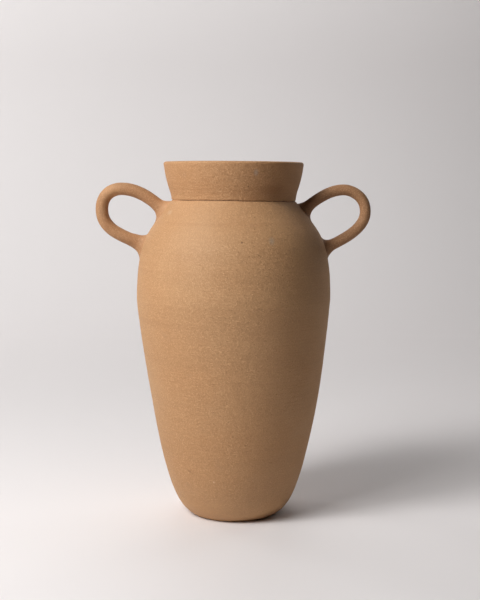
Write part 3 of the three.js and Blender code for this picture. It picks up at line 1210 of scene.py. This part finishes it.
@dataclass(frozen=True)
class Flare:
    """How worked clay widens from a coil to the wall on one side, in millimetres.

    The reach is from the middle of the coil to the edge on the wall, and the length is how far up
    the coil it starts. Hug says how long it stays near the coil, and spread how long it lies on the wall.
    """

    reach: float
    length: float
    hug: float = 0.5
    spread: float = 0.4
    steps: int = 200

    def reach_at(self, coil: float, height: float) -> float:
        """How far the clay reaches from the coil's middle at one height off the wall.

        Args:
            coil: The radius of the coil.
            height: The height along the coil, in millimetres.

        Returns:
            The distance in millimetres, the coil's own radius above the flare.
        """
        more = self.reach - coil
        corners = [
            np.array([self.length, coil]),
            np.array([self.length * (1 - self.hug), coil]),
            np.array([0.0, self.reach - self.spread * more]),
            np.array([0.0, self.reach]),
        ]
        line = cubic(corners, self.steps)[::-1]
        return float(np.interp(height, line[:, 0], line[:, 1]))


@dataclass(frozen=True)
class HandleRoot:
    """One end of a handle: where the coil meets the wall, its slant and its worked clay."""

    height: float
    lean: float
    outer: Flare
    inner: Flare
    side: Flare


@dataclass
class CoilHandle:
    """A rolled coil bent to an ear-shaped loop, with the clay worked round both ends.

    Sunk gives the rows that close each end inside the wall, from the middle out: how deep each
    lies, and what share of the root's reach it has.
    """

    shop: Workshop
    wall: JarBody
    side: Side
    clay: Clay
    coil_diameter: float
    upper: HandleRoot
    lower: HandleRoot
    crest_rise: float
    crest_inset: float
    tip_drop: float
    rise_ease: Pair
    crest_ease: Pair
    fall_ease: Pair
    projection: float = 43.4
    stub: float = 9.8
    root_length: float = 18.0
    sunk: tuple[Pair, ...] = ((-1.6, 0.0), (-1.5, 0.5), (-0.8, 1.0))
    flare_steps: int = 22
    flare_crowding: float = 2.2
    loop_step: float = 1.6
    stub_points: int = 60
    bend_points: int = 200
    sides: int = 56
    unevenness: float = 0.5
    uneven_length: float = 16.0
    seed: float = 2.0
    piece: bpy.types.Object | None = None

    def loop(self) -> tuple[np.ndarray, np.ndarray]:
        """The middle line of the coil from wall to wall, closely stepped.

        Returns:
            The points as radius and height, and how far along the line each of them is.
        """
        radius = self.coil_diameter / 2
        first, last = self.root_point(self.upper), self.root_point(self.lower)
        rise, fall = leaning(90 - self.upper.lean), leaning(90 - self.lower.lean)
        leave, arrive = first + rise * self.stub, last + fall * self.stub
        crest_height = self.upper.height + self.crest_rise
        tip = np.array([self.shop.sizes.belly[0] + self.projection - radius, crest_height - self.tip_drop])
        crest = np.array([tip[0] - self.crest_inset, crest_height])
        line = np.concatenate(
            [
                np.linspace(first, leave, self.stub_points)[:-1],
                eased(leave, rise, crest, OUT, self.rise_ease, self.bend_points)[:-1],
                eased(crest, OUT, tip, DOWN, self.crest_ease, self.bend_points)[:-1],
                eased(tip, DOWN, arrive, -fall, self.fall_ease, self.bend_points)[:-1],
                np.linspace(arrive, last, self.stub_points),
            ]
        )
        run = np.concatenate([[0.0], np.cumsum(np.linalg.norm(np.diff(line, axis=0), axis=1))])
        return line, run

    def root_point(self, root: HandleRoot) -> np.ndarray:
        """Where the middle of the coil meets the wall."""
        return self.shop.sizes.wall_point(root.height)

    def steps(self, run: float) -> np.ndarray:
        """How far along the coil its rows are, from wall to wall, closer where the clay flares.

        Args:
            run: The whole length of the coil in millimetres.

        Returns:
            The distances of the rows from the upper root.
        """
        close = self.root_length * np.linspace(0.0, 1.0, self.flare_steps + 1) ** self.flare_crowding
        count = round((run - 2 * self.root_length) / self.loop_step)
        middle = np.linspace(self.root_length, run - self.root_length, count + 1)[1:-1]
        return np.concatenate([close, middle, run - close[::-1]])

    def rows(self) -> dict[str, np.ndarray]:
        """All that the rows of the handle carry, from inside the wall at the top to inside it below.

        Returns:
            A number or a pair of numbers for each row, by name, in millimetres.
        """
        radius = self.coil_diameter / 2
        line, run = self.loop()
        marks = self.steps(run[-1])
        away = {True: leaning(90 - self.upper.lean), False: -leaning(90 - self.lower.lean)}
        way = np.gradient(line, run, axis=0)
        way /= np.linalg.norm(way, axis=1)[:, None]
        made: dict[str, list] = {}
        places = [(0.0, *each) for each in self.sunk]
        places += [(mark, 0.0, 1.0) for mark in marks]
        places += [(float(run[-1]), *each) for each in self.sunk[::-1]]
        for mark, depth, share in places:
            is_upper = bool(mark < run[-1] / 2)
            root = self.upper if is_upper else self.lower
            height = mark if is_upper else run[-1] - mark
            along = np.array([np.interp(mark, run, way[:, i]) for i in (0, 1)])
            root_way = away[is_upper]
            point = np.array([np.interp(mark, run, line[:, i]) for i in (0, 1)])
            point = point + root_way * (depth if is_upper else -depth)
            root_along = root_way if is_upper else -root_way
            row = {
                "point": point,
                "outward": np.array([-along[1], along[0]]),
                "root": self.root_point(root),
                "root_along": root_along,
                "root_outward": np.array([-root_way[1], root_way[0]]),
                "follow": float(smooth(np.array(1 - height / self.root_length))),
            }
            for name in ("outer", "inner", "side"):
                row[f"reach_{name}"] = getattr(root, name).reach_at(radius, height) * share
            for key, value in row.items():
                made.setdefault(key, []).append(value)
        return {key: np.array(values) for key, values in made.items()}

    def build(self) -> None:
        """Rolls the coil and works its ends on to the wall of the body."""
        rows, sign = self.rows(), self.side.value
        scales = {"point": MM, "root": MM, "reach_outer": MM, "reach_inner": MM, "reach_side": MM}
        marks = {}
        for key, values in rows.items():
            values = values * scales.get(key, 1.0)
            if values.ndim == 2:
                values = np.stack([values[:, 0] * sign, np.zeros(len(values)), values[:, 1]], axis=1)
            marks[key] = values
        self.piece = point_object(f"handle_coil_{self.side.name.lower()}", marks.pop("point"), marks)
        values = {
            "Wall": self.wall.piece,
            "Sides": self.sides,
            "Unevenness": self.unevenness * MM,
            "Uneven Length": self.uneven_length * MM,
            "Seed": self.seed,
            "Material": self.shop.materials[self.clay],
        }
        worked(self.piece, self.shop.coiling, values)

    def dress(self) -> None:
        """Puts the handle in the place of its frame nodes."""
        node = f"handle_{self.side.name.lower()}"
        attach(self.piece, "root")
        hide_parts(node, f"{node}_upper_luting", f"{node}_lower_luting")


def left_handle(shop: Workshop, wall: JarBody) -> CoilHandle:
    """The thicker handle on the left."""
    return CoilHandle(
        shop,
        wall,
        Side.LEFT,
        Clay.LEFT_COIL,
        coil_diameter=13.4,
        upper=HandleRoot(
            height=329.5,
            lean=32.8,
            outer=Flare(11.2, 8.0, 0.30, 0.10),
            inner=Flare(21.9, 15.9, 0.68, 0.61),
            side=Flare(9.8, 8.0),
        ),
        lower=HandleRoot(
            height=289.0,
            lean=34.4,
            outer=Flare(14.8, 7.2, 0.50, 0.51),
            inner=Flare(15.9, 17.5, 0.02, 0.66),
            side=Flare(10.2, 8.0),
        ),
        crest_rise=21.7,
        crest_inset=20.8,
        tip_drop=22.0,
        rise_ease=(0.13, 0.48),
        crest_ease=(0.21, 0.61),
        fall_ease=(0.47, 0.24),
        projection=43.6,
        seed=2.0,
    )


def right_handle(shop: Workshop, wall: JarBody) -> CoilHandle:
    """The thinner handle on the right."""
    return CoilHandle(
        shop,
        wall,
        Side.RIGHT,
        Clay.RIGHT_COIL,
        coil_diameter=11.7,
        upper=HandleRoot(
            height=328.8,
            lean=36.1,
            outer=Flare(8.8, 9.0, 0.40, 0.20),
            inner=Flare(17.8, 14.6, 0.38, 0.81),
            side=Flare(9.0, 8.0),
        ),
        lower=HandleRoot(
            height=287.8,
            lean=26.2,
            outer=Flare(12.5, 11.0, 0.46, 0.44),
            inner=Flare(14.2, 11.7, 0.58, 0.65),
            side=Flare(9.2, 8.0),
        ),
        crest_rise=21.3,
        crest_inset=23.2,
        tip_drop=23.0,
        rise_ease=(0.27, 0.38),
        crest_ease=(0.22, 0.52),
        fall_ease=(0.31, 0.44),
        projection=42.9,
        seed=6.0,
    )


@dataclass(frozen=True)
class SoftLight:
    """A soft box: its direction and distance from its target, its size in metres and its power.

    Azimuth 0 is the camera's side, and it is positive to the right.
    """

    name: str
    azimuth: float
    elevation: float
    distance: float
    width: float
    height: float
    watts: float
    target: Triple = (0.0, 0.0, 0.2)
    spread: float = 180.0

    def place(self) -> None:
        """Puts the light in the scene, turned to its target."""
        data = bpy.data.lights.new(self.name, "AREA")
        data.shape, data.size, data.size_y = "RECTANGLE", self.width, self.height
        data.energy, data.spread = self.watts, math.radians(self.spread)
        light = bpy.data.objects.new(self.name, data)
        turn, rise = math.radians(self.azimuth), math.radians(self.elevation)
        way = Vector((math.sin(turn) * math.cos(rise), -math.cos(turn) * math.cos(rise), math.sin(rise)))
        light.location = Vector(self.target) + way * self.distance
        light.rotation_euler = way.to_track_quat("Z", "Y").to_euler()
        bpy.context.scene.collection.objects.link(light)


@dataclass
class Studio:
    """The pale floor that bends up to a backdrop, the lights and the camera, in metres."""

    floor_half_width: float = 5.0
    floor_front: float = -5.0
    bend_start: float = 1.36
    bend_radius: float = 0.7
    wall_height: float = 3.2
    bend_rows: int = 25
    floor_columns: int = 21
    paper: Colour = (0.79, 0.757, 0.75)
    paper_shade: float = 0.985
    paper_cloud_scale: float = 3.0
    paper_rough: float = 0.6
    surround: Colour = (0.9, 0.88, 0.87)
    surround_strength: float = 0.01
    lights: tuple[SoftLight, ...] = (
        SoftLight("key_box", -49.0, 42.0, 1.6, 0.9, 0.9, 21.4),
        SoftLight("key_core", -54.0, 38.0, 1.6, 0.4, 0.4, 10.4),
        SoftLight("back_fill", 130.0, 25.0, 1.7, 0.6, 0.8, 0.4, spread=55.0),
        SoftLight("wall_side_box", -60.0, 25.0, 1.6, 0.8, 0.8, 12.4, target=(-0.4, 2.0, 0.6)),
        SoftLight("wall_top_strip", 0.0, 65.0, 1.6, 1.4, 0.5, 12.6, target=(0.0, 2.06, 0.6)),
    )
    camera_height: float = 0.3588
    camera_distance: float = 1.1821
    camera_pitch: float = 6.14
    camera_yaw: float = 0.329
    lens: float = 66.0
    film_width: float = 36.0

    def paper_material(self) -> bpy.types.Material:
        """A matt paper with the faintest grain."""
        made, w = new_material("studio_paper")
        place = w.add("ShaderNodeTexCoord").outputs["Object"]
        darker = tuple(self.paper_shade * part for part in self.paper)
        colour = w.blend(w.noise(place, self.paper_cloud_scale, 2.0), self.paper, darker)
        shader = w.add("ShaderNodeBsdfPrincipled", {"Base Color": colour, "Roughness": self.paper_rough})
        w.add("ShaderNodeOutputMaterial", {"Surface": shader.outputs[0]})
        return made

    def build_floor(self) -> None:
        """Builds the floor and the backdrop as one sheet."""
        wall_y = self.bend_start + self.bend_radius
        centre = np.array([self.bend_start, self.bend_radius])
        bend = arc(centre, self.bend_radius, -90, 0, self.bend_rows)
        line = np.concatenate([[[self.floor_front, 0.0]], bend, [[wall_y, self.wall_height]]])
        across = np.linspace(-self.floor_half_width, self.floor_half_width, self.floor_columns)
        points = [(float(x), float(y), float(z)) for y, z in line for x in across]
        wide = len(across)
        faces = [
            (i * wide + j, i * wide + j + 1, (i + 1) * wide + j + 1, (i + 1) * wide + j)
            for i in range(len(line) - 1)
            for j in range(wide - 1)
        ]
        mesh = bpy.data.meshes.new("studio_floor")
        mesh.from_pydata(points, [], faces)
        mesh.shade_smooth()
        mesh.materials.append(self.paper_material())
        sheet = bpy.data.objects.new("studio_floor", mesh)
        bpy.context.scene.collection.objects.link(sheet)

    def build_world(self) -> None:
        """Sets the soft light that comes from all round."""
        world = bpy.data.worlds.new("studio_surround")
        world.use_nodes = True
        inputs = world.node_tree.nodes["Background"].inputs
        inputs["Color"].default_value = (*self.surround, 1.0)
        inputs["Strength"].default_value = self.surround_strength
        bpy.context.scene.world = world

    def build_camera(self) -> None:
        """Places the camera at the viewing angle of the reference picture."""
        data = bpy.data.cameras.new("camera")
        data.lens, data.sensor_width = self.lens, self.film_width
        camera = bpy.data.objects.new("camera", data)
        camera.location = (0.0, -self.camera_distance, self.camera_height)
        camera.rotation_euler = (math.radians(90 - self.camera_pitch), 0.0, -math.radians(self.camera_yaw))
        bpy.context.scene.collection.objects.link(camera)
        bpy.context.scene.camera = camera

    def build(self) -> None:
        """Builds the whole studio."""
        self.build_floor()
        self.build_world()
        self.build_camera()
        for light in self.lights:
            light.place()
        settings = bpy.context.scene.view_settings
        settings.view_transform, settings.look = "Standard", "None"


def main() -> None:
    """Builds the jar piece by piece, dresses it and sets the studio up."""
    logging.basicConfig(level=logging.INFO, format="%(message)s")
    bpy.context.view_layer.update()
    shop = Workshop()
    body = JarBody(shop)
    for part in (body, SlipBed(shop), JarNeck(shop), left_handle(shop, body), right_handle(shop, body)):
        part.build()
        part.dress()
        mesh = part.piece.data
        LOG.info("%s: %d points, %d faces", part.piece.name, len(mesh.vertices), len(mesh.polygons))
    Studio().build()


if __name__ == "__main__":
    main()
